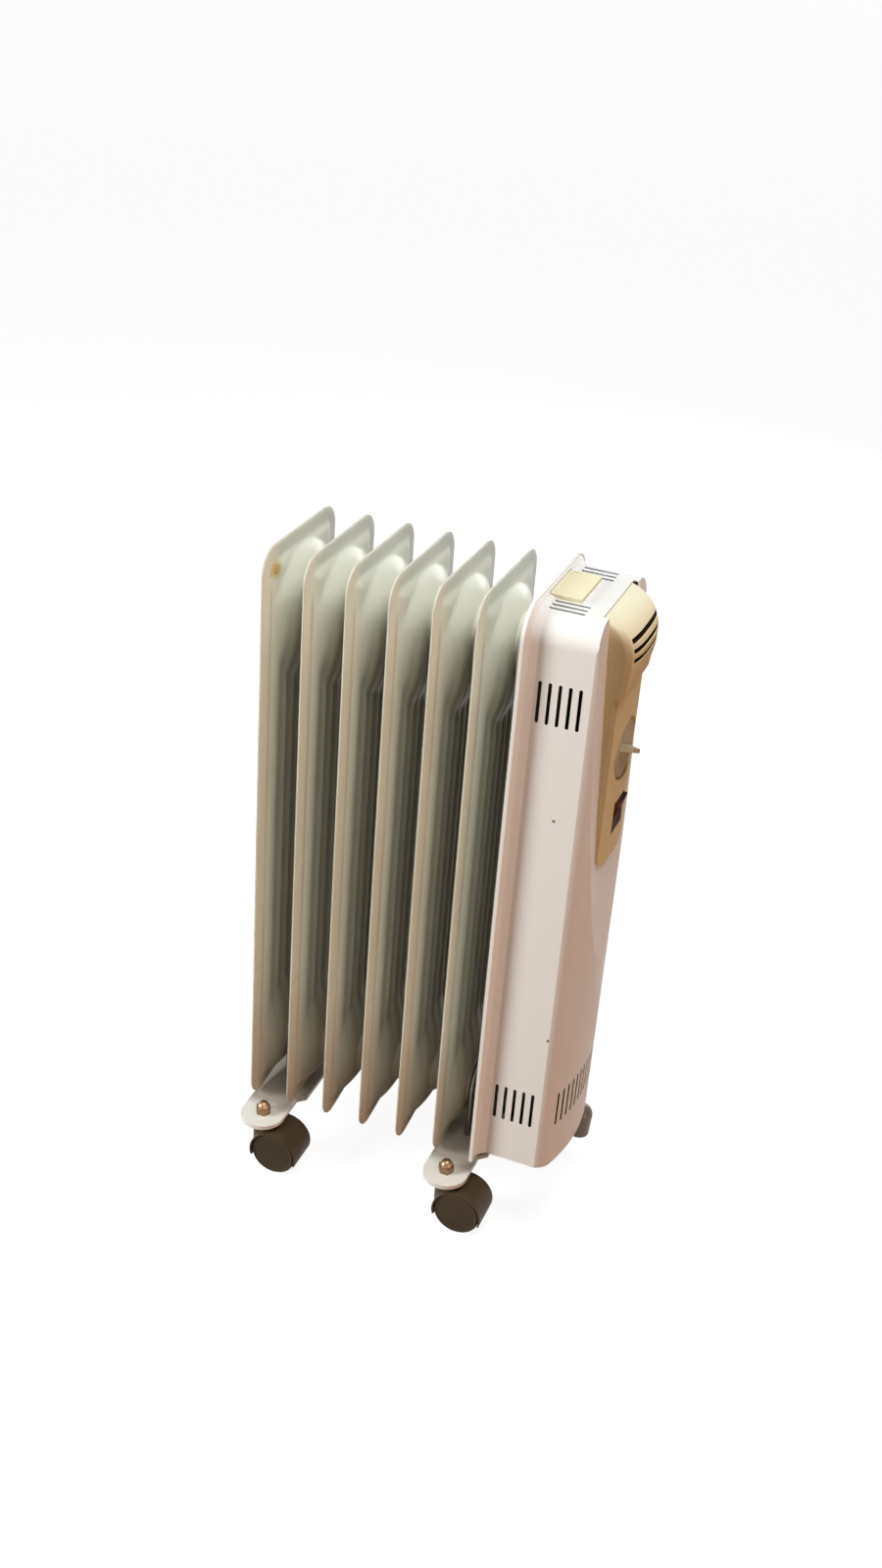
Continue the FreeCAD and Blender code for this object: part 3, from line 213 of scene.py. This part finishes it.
class Nodes:
    """A short way to write a node tree: nodes by type, links by socket name, lengths in millimetres."""

    def __init__(self, name):
        self.material = bpy.data.materials.new(name)
        self.material.use_nodes = True
        self.tree = self.material.node_tree
        self.shader = self.tree.nodes["Principled BSDF"]
        self.place = self.add("ShaderNodeTexCoord").outputs["Object"]

    def add(self, kind, **inputs):
        node = self.tree.nodes.new(kind)
        for name, value in inputs.items():
            self.put(node.inputs[name.replace("_", " ")], value)
        return node

    def put(self, socket, value):
        if isinstance(value, bpy.types.NodeSocket):
            self.tree.links.new(value, socket)
        else:
            socket.default_value = value

    def set(self, **inputs):
        for name, value in inputs.items():
            self.put(self.shader.inputs[name.replace("_", " ")], value)

    def math(self, operation, *values):
        node = self.tree.nodes.new("ShaderNodeMath")
        node.operation = operation
        for socket, value in zip(node.inputs, values):
            self.put(socket, value)
        return node.outputs[0]

    def mix(self, factor, first, second):
        node = self.tree.nodes.new("ShaderNodeMix")
        node.data_type = "RGBA"
        self.put(node.inputs["Factor"], factor)
        colours = [socket for socket in node.inputs if socket.type == "RGBA"]
        self.put(colours[0], first)
        self.put(colours[1], second)
        return [socket for socket in node.outputs if socket.type == "RGBA"][0]

    def noise(self, scale, detail=4.0, stretch=None):
        place = self.place
        if stretch is not None:
            mapping = self.add("ShaderNodeMapping", Vector=place, Scale=stretch)
            place = mapping.outputs["Vector"]
        node = self.add("ShaderNodeTexNoise", Vector=place, Scale=scale, Detail=detail, Roughness=0.55)
        return node.outputs["Fac"]

    def ramp(self, factor, low, high):
        node = self.add("ShaderNodeValToRGB", Fac=factor)
        start, end = node.color_ramp.elements
        start.position, end.position = low, high
        return node.outputs["Color"]

    def span(self, factor, low, high, first, last):
        node = self.add("ShaderNodeMapRange", Value=factor)
        for name, value in (("From Min", low), ("From Max", high), ("To Min", first), ("To Max", last)):
            node.inputs[name].default_value = value
        return node.outputs["Result"]

    def varied(self, scale, first, last, detail=4.0, stretch=None):
        """A value that wanders between two ends."""
        return self.span(self.noise(scale, detail, stretch), 0.3, 0.7, first, last)

    def axes(self):
        return self.add("ShaderNodeSeparateXYZ", Vector=self.place).outputs

    def fade(self, value, start, end, most=1.0):
        """A mask that goes from 0 at one length to its most at another."""
        return self.span(value, start * MM, end * MM, 0.0, most)

    def above(self, value, limit):
        return self.math("GREATER_THAN", value, limit * MM)

    def below(self, value, limit):
        return self.math("LESS_THAN", value, limit * MM)

    def past(self, value, limit):
        """How far a value lies past a length, and 0 before it."""
        return self.math("MAXIMUM", self.math("SUBTRACT", value, limit * MM), 0.0)

    def distance(self, first, second):
        """The distance that two steps at right angles cover."""
        squares = self.math("MULTIPLY", first, first), self.math("MULTIPLY", second, second)
        return self.math("SQRT", self.math("ADD", *squares))

    def both(self, *masks):
        total = masks[0]
        for mask in masks[1:]:
            total = self.math("MULTIPLY", total, mask)
        return total

    def spot(self, centre, radius, ragged):
        """A mask that is 1 near a point and breaks up towards its radius."""
        apart = self.tree.nodes.new("ShaderNodeVectorMath")
        apart.operation = "DISTANCE"
        self.put(apart.inputs[0], self.place)
        self.put(apart.inputs[1], [part * MM for part in centre])
        reach = 0.35 * radius * MM
        rough = self.varied(ragged, -reach, reach, 5.0)
        total = self.math("ADD", apart.outputs["Value"], rough)
        return self.fade(total, radius, 0.7 * radius)

    def bump(self, height, strength, distance):
        node = self.add("ShaderNodeBump", Height=height, Strength=strength, Distance=distance)
        self.set(Normal=node.outputs["Normal"])

    def lay(self, mask, tint):
        """Put a colour over the material's own where a mask is 1."""
        under = self.shader.inputs["Base Color"].links[0].from_socket
        self.set(Base_Color=self.mix(mask, under, colour(tint)))


def enamel(name, fresh, aged, roughness, gloss=0.3, coat=0.05):
    """Glossy stoved paint: faint orange peel and slow yellowing."""
    m = Nodes(name)
    slow = m.ramp(m.noise(7.0, 3.0), 0.35, 0.75)
    m.set(Base_Color=m.mix(slow, colour(fresh), colour(aged)))
    m.set(Roughness=m.varied(26.0, roughness - 0.06, roughness + 0.08))
    m.set(Specular_IOR_Level=gloss, Coat_Weight=coat, Coat_Roughness=0.12)
    m.bump(m.noise(420.0, 2.0), 0.05, 0.0004)
    return m


def moulded(name, fresh, aged, roughness, grain, gloss, coat):
    """Moulded plastic: a fine spark-eroded grain, slow yellowing and handling marks."""
    m = Nodes(name)
    slow = m.ramp(m.noise(11.0, 3.0), 0.3, 0.75)
    m.set(Base_Color=m.mix(slow, colour(fresh), colour(aged)))
    m.set(Roughness=m.varied(40.0, roughness - 0.07, roughness + 0.1))
    m.set(Specular_IOR_Level=gloss, Coat_Weight=coat, Coat_Roughness=0.12)
    m.bump(m.noise(1500.0, 2.0), grain, 0.0002)
    return m


def plated(name, base, roughness):
    """Plated steel with dull patches and a fine grain."""
    m = Nodes(name)
    dull = m.ramp(m.noise(90.0, 3.0), 0.4, 0.8)
    m.set(Base_Color=m.mix(dull, colour(base), colour(0.62 * part for part in base)))
    m.set(Metallic=1.0)
    m.set(Roughness=m.varied(300.0, roughness - 0.08, roughness + 0.14))
    m.bump(m.noise(900.0, 2.0), 0.08, 0.0002)
    return m


def fin_enamel():
    """Ivory enamel: painted shade between the fins, along the crease and towards the foot, chipped once."""
    m = enamel("fin_enamel", *IVORY, 0.27, 0.14, 0.0)
    x, y, z = m.axes()
    aside = m.math("ABSOLUTE", y)
    turn = m.math("MULTIPLY", y, 2.0 * math.pi / (FLUTE_PITCH * MM))
    front = m.above(x, FIRST_FIN)
    # Painted shade between the fins, darker in the flutes' hollows and kept off fin 1's outer face
    gap_shade = m.both(
        m.fade(aside, 51.0, 40.0),
        m.fade(z, 115.0, 165.0),
        m.fade(z, 575.0, 510.0),
        front,
        m.varied(9.0, 0.8, 1.0, stretch=(1.0, 1.0, 0.3)),
        m.span(m.math("COSINE", turn), -1.0, 1.0, 0.5, 1.0),
    )
    m.lay(m.math("MULTIPLY", gap_shade, 0.9), GAP_SHADE)
    # Painted shade along the vertical crease inside the rim band
    crease = m.math("SUBTRACT", aside, (FIN_HALF - RIM_WIDTH - 1.0) * MM)
    crease_shade = m.both(
        m.fade(m.math("ABSOLUTE", crease), 2.2, 0.6, 0.5),
        m.fade(z, 592.0, 575.0),
        m.span(m.noise(16.0, 3.0, (1.0, 1.0, 0.4)), 0.3, 0.65, 0.35, 1.0),
    )
    m.lay(crease_shade, CREASE_SHADE)
    # Painted shade, darker towards the fins' foot
    foot_shade = m.fade(z, 210.0, 80.0, 0.6)
    m.lay(foot_shade, FOOT_SHADE)
    dull = m.math("MAXIMUM", m.math("MULTIPLY", gap_shade, 0.4), m.math("MULTIPLY", foot_shade, 0.9))
    m.set(Roughness=m.math("ADD", dull, 0.24))
    m.lay(m.both(m.spot(CHIP, 10.5, 260.0), front), CHIP_EDGE)
    m.lay(m.both(m.spot(CHIP, 5.5, 420.0), front), CHIP_RUST)
    return m.material


def box_paint():
    """White paint outside, painted shade inside, and two small specks on the near wall."""
    m = enamel("box_paint", *WHITE, 0.4, 0.04, 0.0)
    x, y, z = m.axes()
    aside = m.math("ABSOLUTE", y)
    corner = m.distance(m.past(aside, BOX_HALF - BOX_EDGE), m.past(z, BOX_HIGH - BOX_EDGE))
    slope = (BULGE - FACET_TOP) / FACET_RUN
    leaning = m.math("ADD", x, m.math("MULTIPLY", z, slope))
    away = m.math("SUBTRACT", x, (BULGE_X - BULGE_RADIUS) * MM)
    bowed = m.both(
        m.below(m.distance(away, y), BULGE_RADIUS - SKIN),
        m.below(aside, BULGE_HALF),
    )
    notch = m.both(m.above(x, NOTCH_X), m.above(z, NOTCH_LOW))
    inside = m.both(
        m.below(corner, BOX_EDGE - SKIN),
        m.above(x, BOX_REAR),
        m.below(leaning, WALL_FRONT + FACET_TOP - SKIN + BOX_HIGH * slope),
        m.math("MAXIMUM", m.below(x, WALL_FRONT - SKIN), bowed),
        m.math("SUBTRACT", 1.0, notch),
    )
    # The inside of the box is painted near black as shade, seen through its slots
    m.lay(inside, INSIDE_SHADE)
    for speck in SPECKS:
        m.lay(m.spot(speck, 1.6, 900.0), SPECK_BROWN)
    return m.material


def panel_plastic():
    """Cream plastic: painted light on the hood's top, painted shade down its sides and in the slots, an
    index dot.
    """
    m = moulded("panel_plastic", *CREAM, 0.3, 0.04, 0.0, 0.05)
    x, y, z = m.axes()
    aside = m.math("ABSOLUTE", y)
    # Painted light: the hood's top is paler where light falls on it
    hood = m.span(x, (COVER_END - 0.5) * MM, (COVER_END + 0.5) * MM, 0.6, 0.95)
    m.lay(m.both(m.fade(z, 585.0, 612.0), hood), LIT_CREAM)
    # Painted shade down the hood's sides
    side_shade = m.both(
        m.fade(aside, 36.2, 38.5, 0.75),
        m.fade(z, 608.0, 596.0),
        m.varied(30.0, 0.8, 1.0),
    )
    m.lay(side_shade, HOOD_SIDE_SHADE)
    # Painted shade inside the hood's slots, from just under the hood's swelled surface
    along = m.math("SUBTRACT", x, (NOSE_X - HOOD_RADIUS) * MM)
    share = m.math("POWER", m.math("DIVIDE", aside, HOOD_HALF * MM), 3.0)
    fall = m.math("MULTIPLY", share, -SLOT_SWELL * MM)
    skin = m.math("ADD", fall, (HOOD_RADIUS - SLOT_SKIN + SLOT_SWELL) * MM)
    deep = m.both(
        m.math("LESS_THAN", m.distance(along, m.past(z, BOX_HIGH - HOOD_RADIUS)), skin),
        m.below(aside, SLOT_HALF),
        m.above(along, SLOT_AHEAD),
        m.above(z, SLOT_LOW),
        m.below(z, SLOT_HIGH),
    )
    m.lay(deep, SLOT_SHADE)
    m.lay(m.spot(INDEX_MARK, 1.4, 900.0), INDEX_BROWN)
    return m.material


def bracket_paint():
    """White paint, with painted shadow where the fins stand over it."""
    m = enamel("bracket_paint", *BRACKET_WHITE, 0.3)
    aside = m.math("ABSOLUTE", m.axes()["Y"])
    # Painted shadow under the fins
    m.lay(m.fade(aside, 77.0, 66.0, 0.75), BRACKET_SHADOW)
    return m.material


materials = {
    "fin_enamel": fin_enamel(),
    "box_paint": box_paint(),
    "panel_plastic": panel_plastic(),
    "bracket_paint": bracket_paint(),
}
for slot, finish in PLASTICS.items():
    materials[slot] = moulded(slot, *finish).material
for slot, finish in METALS.items():
    materials[slot] = plated(slot, *finish).material


def dress(piece, slot):
    """Give a piece one material."""
    piece.data.materials.clear()
    piece.data.materials.append(materials[slot])


def smooth(piece, angle):
    """Shade a piece smooth except across edges sharper than an angle in degrees."""
    with bpy.context.temp_override(object=piece, active_object=piece, selected_editable_objects=[piece]):
        bpy.ops.object.shade_smooth_by_angle(angle=math.radians(angle))


def new_piece(name, points, faces, body, slot, node):
    """A mesh piece from points in millimetres, on a body, in a material slot, in place of a CAD node."""
    mesh = bpy.data.meshes.new(name)
    mesh.from_pydata((np.asarray(points) * MM).tolist(), [], faces)
    mesh.update()
    piece = bpy.data.objects.new(name, mesh)
    bpy.context.scene.collection.objects.link(piece)
    dress(piece, slot)
    for polygon in mesh.polygons:
        polygon.use_smooth = True
    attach(piece, body)
    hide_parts(node)
    return piece


# Fins

def grid_faces(rows, columns, start, flip):
    """Faces of a grid of points that was written row by row."""
    faces = []
    for i in range(rows - 1):
        for j in range(columns - 1):
            a = start + i * columns + j
            face = (a, a + 1, a + columns + 1, a + columns)
            faces.append(face[::-1] if flip else face)
    return faces


def fin_rows():
    """Heights up the fin, close together round the corners and the headers."""
    bend = FIN_CORNER * (1.0 - np.cos(np.linspace(0.0, math.pi / 2, 26)))
    low = np.arange(FIN_CORNER + FINE_ROW, PLAIN_LOW - 2.0, FINE_ROW)
    middle = np.linspace(PLAIN_LOW, PLAIN_HIGH, 56)
    high = np.arange(PLAIN_HIGH + 2.0, FIN_HEIGHT - FIN_CORNER - 1.0, FINE_ROW)
    return np.concatenate([bend, low, middle, high, FIN_HEIGHT - bend[::-1]])


def fin_columns():
    """Places across the fin as shares of its half width, close together at the rim and its crease."""
    away = np.concatenate([EDGE_STEPS, np.arange(INNER_START, FIN_HALF + 0.1, INNER_STEP)])
    half = (FIN_HALF - away) / FIN_HALF
    half = half[half > 0.008]
    return np.concatenate([-half, [0.0], half[::-1]])


def trumpet(radius):
    """How far a header's funnel stands off the fin's plane at a distance from its axis."""
    return RIM_HALF + FUNNEL_SCALE * np.maximum(FUNNEL_RADIUS - radius, 0.0) ** FUNNEL_POWER


def soft_step(value):
    """A smooth rise from 0 to 1."""
    value = np.clip(value, 0.0, 1.0)
    return value * value * (3.0 - 2.0 * value)


def soft_max(first, second, width):
    """The larger of two heights, blended where they lie within a width of each other."""
    blend = np.clip(0.5 + 0.5 * (first - second) / width, 0.0, 1.0)
    return second * (1.0 - blend) + first * blend + width * blend * (1.0 - blend)


def lifted(y, z):
    """Heights near the fin's lower edge, which is arched between its corners."""
    arch = EDGE_ARCH * np.cos(math.pi / 2 * np.clip(y / ARCH_HALF, -1.0, 1.0)) ** 2
    return z + arch * np.clip(1.0 - z / ARCH_REACH, 0.0, 1.0) ** 2


def dome(y, z, header, rise):
    """The swelling round a header: it fills the fin's width and trails off towards the flutes."""
    away = z - header
    outward = away > 0 if header > FIN_HEIGHT / 2 else away < 0
    reach = np.where(outward, DOME_SHORT, DOME_LONG)
    spread = np.abs(y / DOME_SIDE) ** DOME_SQUARENESS + np.abs(away / reach) ** DOME_SQUARENESS
    return RIM_HALF + rise * (1.0 - spread ** DOME_FULLNESS)


def rim_depth(y, z):
    """How far a point lies inside the fin's outline."""
    middle = FIN_HEIGHT / 2
    over = np.maximum(np.abs(y) - (FIN_HALF - FIN_CORNER), 0.0)
    past = np.maximum(np.abs(z - middle) - (middle - FIN_CORNER), 0.0)
    inside = -soft_max(np.abs(y) - FIN_HALF, np.abs(z - middle) - middle, CORNER_BLEND)
    return np.where((over > 0) & (past > 0), FIN_CORNER - np.hypot(over, past), inside)


def flutes(y, z):
    """The waves pressed into the chamber, faded out at their ends and at the sides."""
    wave = 0.5 + 0.5 * np.cos(2.0 * math.pi * (y / FLUTE_PITCH - 0.5))
    ends = soft_step((z - FLUTE_LOW) / FLUTE_FADE) * soft_step((FLUTE_HIGH - z) / FLUTE_FADE)
    sides = soft_step((FLUTE_COUNT / 2 * FLUTE_PITCH - np.abs(y)) / FLUTE_SIDE_FADE)
    return FLUTE_RISE * wave * (ends * sides)


def fin_height(y, z, domed, limit):
    """Half the fin's thickness at a point: rim, slope, fluted chamber and the feet of both funnels."""
    depth = rim_depth(y, z)
    rim = RIM_HALF - RIM_DROP * (1.0 - np.clip(depth / RIM_ROUND, 0.0, 1.0)) ** 2
    share = np.clip((depth - RIM_WIDTH) / SLOPE_WIDTH, 0.0, 1.0)
    swell = (CHAMBER_HALF - RIM_HALF) * (1.0 - (1.0 - share) ** SLOPE_FULLNESS)
    bead = CREASE_BEAD * np.exp(-(((depth - RIM_WIDTH) / CREASE_WIDTH) ** 2))
    height = rim + swell + flutes(y, z) + bead
    for header, rise in zip(HEADERS, DOME_RISES):
        away = np.hypot(y, lifted(y, z) - header)
        foot = np.minimum(trumpet(away), trumpet(FOOT_RADIUS))
        if domed:
            foot = np.maximum(foot, dome(y, lifted(y, z), header, min(rise, limit - RIM_HALF)))
        height = np.where(depth > CLEAR_RIM, soft_max(foot, height, FOOT_BLEND), height)
    return height


def lathe(radii, reaches, centre, plane, side, segments=96):
    """A surface turned about a header's axis: rings of a radius at a reach from the fin's plane."""
    turns = np.linspace(0.0, 2.0 * math.pi, segments, endpoint=False)
    points = [
        (plane + side * reach, radius * math.cos(turn), centre + radius * math.sin(turn))
        for radius, reach in zip(radii, reaches)
        for turn in turns
    ]
    faces = []
    for i in range(len(radii) - 1):
        for j in range(segments):
            k = (j + 1) % segments
            face = (i * segments + j, i * segments + k, (i + 1) * segments + k, (i + 1) * segments + j)
            faces.append(face if side > 0 else face[::-1])
    return points, faces


def neck_profile(closed):
    """Radii and reaches of a trumpet's throat, from under the funnel's foot to the neck or the end boss."""
    throat = np.linspace(THROAT_RADIUS, NECK_RADIUS, 12)
    radii = np.concatenate([[TUCK_RADIUS, TUCK_RADIUS - 1.5], throat])
    lift = np.interp(radii, [THROAT_RADIUS, TUCK_RADIUS], [0.10, -0.5])
    reaches = trumpet(radii) + lift
    if not closed:
        reaches[-1] = FIN_PITCH / 2
        return radii, np.minimum(reaches, FIN_PITCH / 2)
    flat = END_BOSS - BOSS_SKIN
    keep = reaches < flat - 1.0
    radii, reaches = radii[keep], reaches[keep]
    steps, drops = np.transpose(BOSS_ROUND)
    return (
        np.concatenate([radii, radii[-1] - steps, BOSS_INNER]),
        np.concatenate([reaches, flat - drops, [flat] * len(BOSS_INNER)]),
    )


def fin_sheets(order, plane):
    """Points and faces of a fin's two pressed sheets, and the shape of the grid that each one is."""
    rows, columns = fin_rows(), fin_columns()
    z = rows[:, None] * np.ones_like(columns)[None, :]
    drop = np.minimum(z, FIN_HEIGHT - z)
    bend = np.clip(FIN_CORNER - drop, 0.0, FIN_CORNER)
    half = FIN_HALF - FIN_CORNER + np.sqrt(np.maximum(FIN_CORNER ** 2 - bend ** 2, 0.0))
    y = half * columns[None, :]
    points, faces = [], []
    for side in (1.0, -1.0):
        limit = END_BOSS - 2.0 * BOSS_SKIN if order == 1 and side < 0 else FIN_PITCH / 2
        height = fin_height(y, z, order < FIN_COUNT or side < 0, limit)
        layer = np.stack([plane + side * height, y, lifted(y, z) + FIN_BASE], axis=-1)
        faces.extend(grid_faces(*z.shape, len(points), side < 0))
        points.extend(layer.reshape(-1, 3).tolist())
    return points, faces, z.shape


def add_seam(points, faces, shape, plane):
    """Close the rims of both sheets with a seam that lies a little inside their edge."""
    count = shape[0] * shape[1]
    index = np.arange(count).reshape(shape)
    loop = np.concatenate([index[0], index[1:, -1], index[-1, -2::-1], index[-2:0:-1, 0]]).tolist()
    seam = len(points)
    for corner in loop:
        y, z = points[corner][1:]
        inward = np.array([-y, FIN_BASE + FIN_HEIGHT / 2 - z])
        inward = SEAM_DEPTH * inward / np.linalg.norm(inward)
        points.append((plane, y + inward[0], z + inward[1]))
    for i, corner in enumerate(loop):
        k = (i + 1) % len(loop)
        faces.append((corner, seam + i, seam + k, loop[k]))
        faces.append((seam + i, corner + count, loop[k] + count, seam + k))


def add_fin(order):
    """One fin: its two sheets, the seam round them and the throats of both headers."""
    plane = FIRST_FIN + FIN_PITCH * (order - 1)
    points, faces, shape = fin_sheets(order, plane)
    add_seam(points, faces, shape, plane)
    for header in HEADERS:
        for side in (1.0, -1.0):
            closed = (order == 1 and side < 0) or (order == FIN_COUNT and side > 0)
            more, rings = lathe(*neck_profile(closed), header + FIN_BASE, plane, side)
            start = len(points)
            points.extend(more)
            faces.extend(tuple(start + corner for corner in face) for face in rings)
    piece = new_piece(f"fin_shell_{order}", points, faces, "frame", "fin_enamel", f"fin_{order}")
    smooth(piece, FIN_SHARP)


for order in range(1, FIN_COUNT + 1):
    add_fin(order)


# Control panel

def swelled(x, y, z):
    """A point of the panel moved out from the hood's axis, most of all half way between its sides."""
    along = x - (NOSE_X - HOOD_RADIUS)
    centre = BOX_HIGH - HOOD_RADIUS
    angle = math.atan2(max(z - centre, 0.0), along)
    run = HOOD_RADIUS * (HOOD_SEAM - angle) + max(centre - z, 0.0)
    share = math.sin(math.pi * min(max(run / HOOD_RUN, 0.0), 1.0)) ** HOOD_FULLNESS
    share = share * max(1.0 - abs(y / HOOD_HALF) ** 3, 0.0)
    return (x + HOOD_SWELL * share * math.cos(angle), y, z + HOOD_SWELL * share * math.sin(angle))


def add_panel():
    """The panel with its hood swelled like a barrel, cut into strips so that its slots bow with it."""
    work = bmesh.new()
    work.from_mesh(frame["nodes"]["control_panel"].data)
    bmesh.ops.remove_doubles(work, verts=work.verts, dist=1e-6)
    for cut in np.arange(-STRIP_REACH, STRIP_REACH + 0.1, STRIP_WIDTH):
        faces = [face for face in work.faces if max(vert.co.z for vert in face.verts) > STRIP_LOW * MM]
        edges = dict.fromkeys(edge for face in faces for edge in face.edges)
        verts = dict.fromkeys(vert for face in faces for vert in face.verts)
        bmesh.ops.bisect_plane(
            work,
            geom=[*verts, *edges, *faces],
            plane_co=(0.0, cut * MM, 0.0),
            plane_no=(0.0, 1.0, 0.0),
        )
    work.verts.index_update()
    points = [swelled(*(vert.co / MM)) for vert in work.verts]
    faces = [[vert.index for vert in face.verts] for face in work.faces]
    work.free()
    piece = new_piece("control_panel_shell", points, faces, "frame", "panel_plastic", "control_panel")
    smooth(piece, PANEL_SHARP)


add_panel()


# CAD nodes that keep their shape

slots = {row["node"]: row["material_slot"] for row in frame["record"]["subparts"]}
for name, node in frame["nodes"].items():
    dress(node, slots[name])


# Floor, light and camera

def add_stage():
    """A pale floor that looks white and gives back a little warm light."""
    bpy.ops.mesh.primitive_plane_add(size=40.0)
    floor = bpy.context.object
    floor.name = "floor"
    m = Nodes("floor")
    seen = m.add("ShaderNodeLightPath").outputs
    shown = m.math("ADD", seen["Is Camera Ray"], seen["Is Glossy Ray"])
    shown = m.math("ADD", shown, seen["Is Transmission Ray"])
    shown = m.math("MINIMUM", shown, 1.0)
    m.set(Base_Color=m.mix(shown, colour(FLOOR_WARM), colour(FLOOR_GREY)))
    m.set(Roughness=0.8, Emission_Color=colour((1.0, 1.0, 1.0)))
    m.set(Emission_Strength=m.math("MULTIPLY", shown, FLOOR_GLOW))
    floor.data.materials.append(m.material)


def add_light(name, place, target, size, power, tint):
    """A round soft lamp, in metres and watts, turned towards a target."""
    data = bpy.data.lights.new(name, "AREA")
    data.shape = "DISK"
    data.size = size
    data.energy = power
    data.color = tint
    lamp = bpy.data.objects.new(name, data)
    bpy.context.scene.collection.objects.link(lamp)
    lamp.location = place
    aim = np.array(target) - np.array(place)
    aim = aim / np.linalg.norm(aim)
    lamp.rotation_euler = (math.acos(-aim[2]), 0.0, math.atan2(-aim[0], aim[1]))


def add_world():
    """White surroundings for the eye and for reflections, with little light of their own."""
    world = bpy.data.worlds.new("studio")
    world.use_nodes = True
    tree = world.node_tree
    background = tree.nodes["Background"]
    background.inputs["Color"].default_value = colour((1.0, 1.0, 1.0))
    seen = tree.nodes.new("ShaderNodeLightPath").outputs
    shown = seen["Is Camera Ray"]
    for other in ("Is Glossy Ray", "Is Transmission Ray"):
        either = tree.nodes.new("ShaderNodeMath")
        either.operation = "MAXIMUM"
        tree.links.new(shown, either.inputs[0])
        tree.links.new(seen[other], either.inputs[1])
        shown = either.outputs[0]
    strength = tree.nodes.new("ShaderNodeMapRange")
    strength.inputs["To Min"].default_value = ROOM_LIGHT
    strength.inputs["To Max"].default_value = 1.0
    tree.links.new(shown, strength.inputs["Value"])
    tree.links.new(strength.outputs["Result"], background.inputs["Strength"])
    bpy.context.scene.world = world


def add_camera():
    """The camera that was fitted to the photograph."""
    data = bpy.data.cameras.new("camera")
    data.sensor_fit = "VERTICAL"
    data.sensor_height = 36.0
    data.lens = 40.894
    camera = bpy.data.objects.new("camera", data)
    camera.location = (0.44293, -1.28606, 1.17421)
    camera.rotation_euler = (math.radians(60.5627), math.radians(-3.9156), math.radians(21.4875))
    bpy.context.scene.collection.objects.link(camera)
    bpy.context.scene.camera = camera


add_stage()
add_world()
add_light("key", (-1.9, -1.35, 1.1), (0.0, 0.0, 0.35), 1.0, 61.0, (0.96, 1.0, 0.98))
add_light("sky", (0.35, -0.2, 2.2), (0.0, 0.0, 0.4), 1.2, 27.0, (1.0, 1.0, 0.98))
add_light("warm", (2.0, -1.1, 0.45), (0.0, 0.0, 0.3), 1.0, 14.0, (1.0, 0.53, 0.31))
add_light("fill", (0.4, 2.2, 0.9), (0.0, 0.0, 0.3), 1.2, 13.0, (1.0, 1.0, 1.0))
add_camera()
bpy.context.scene.view_settings.view_transform = "Standard"
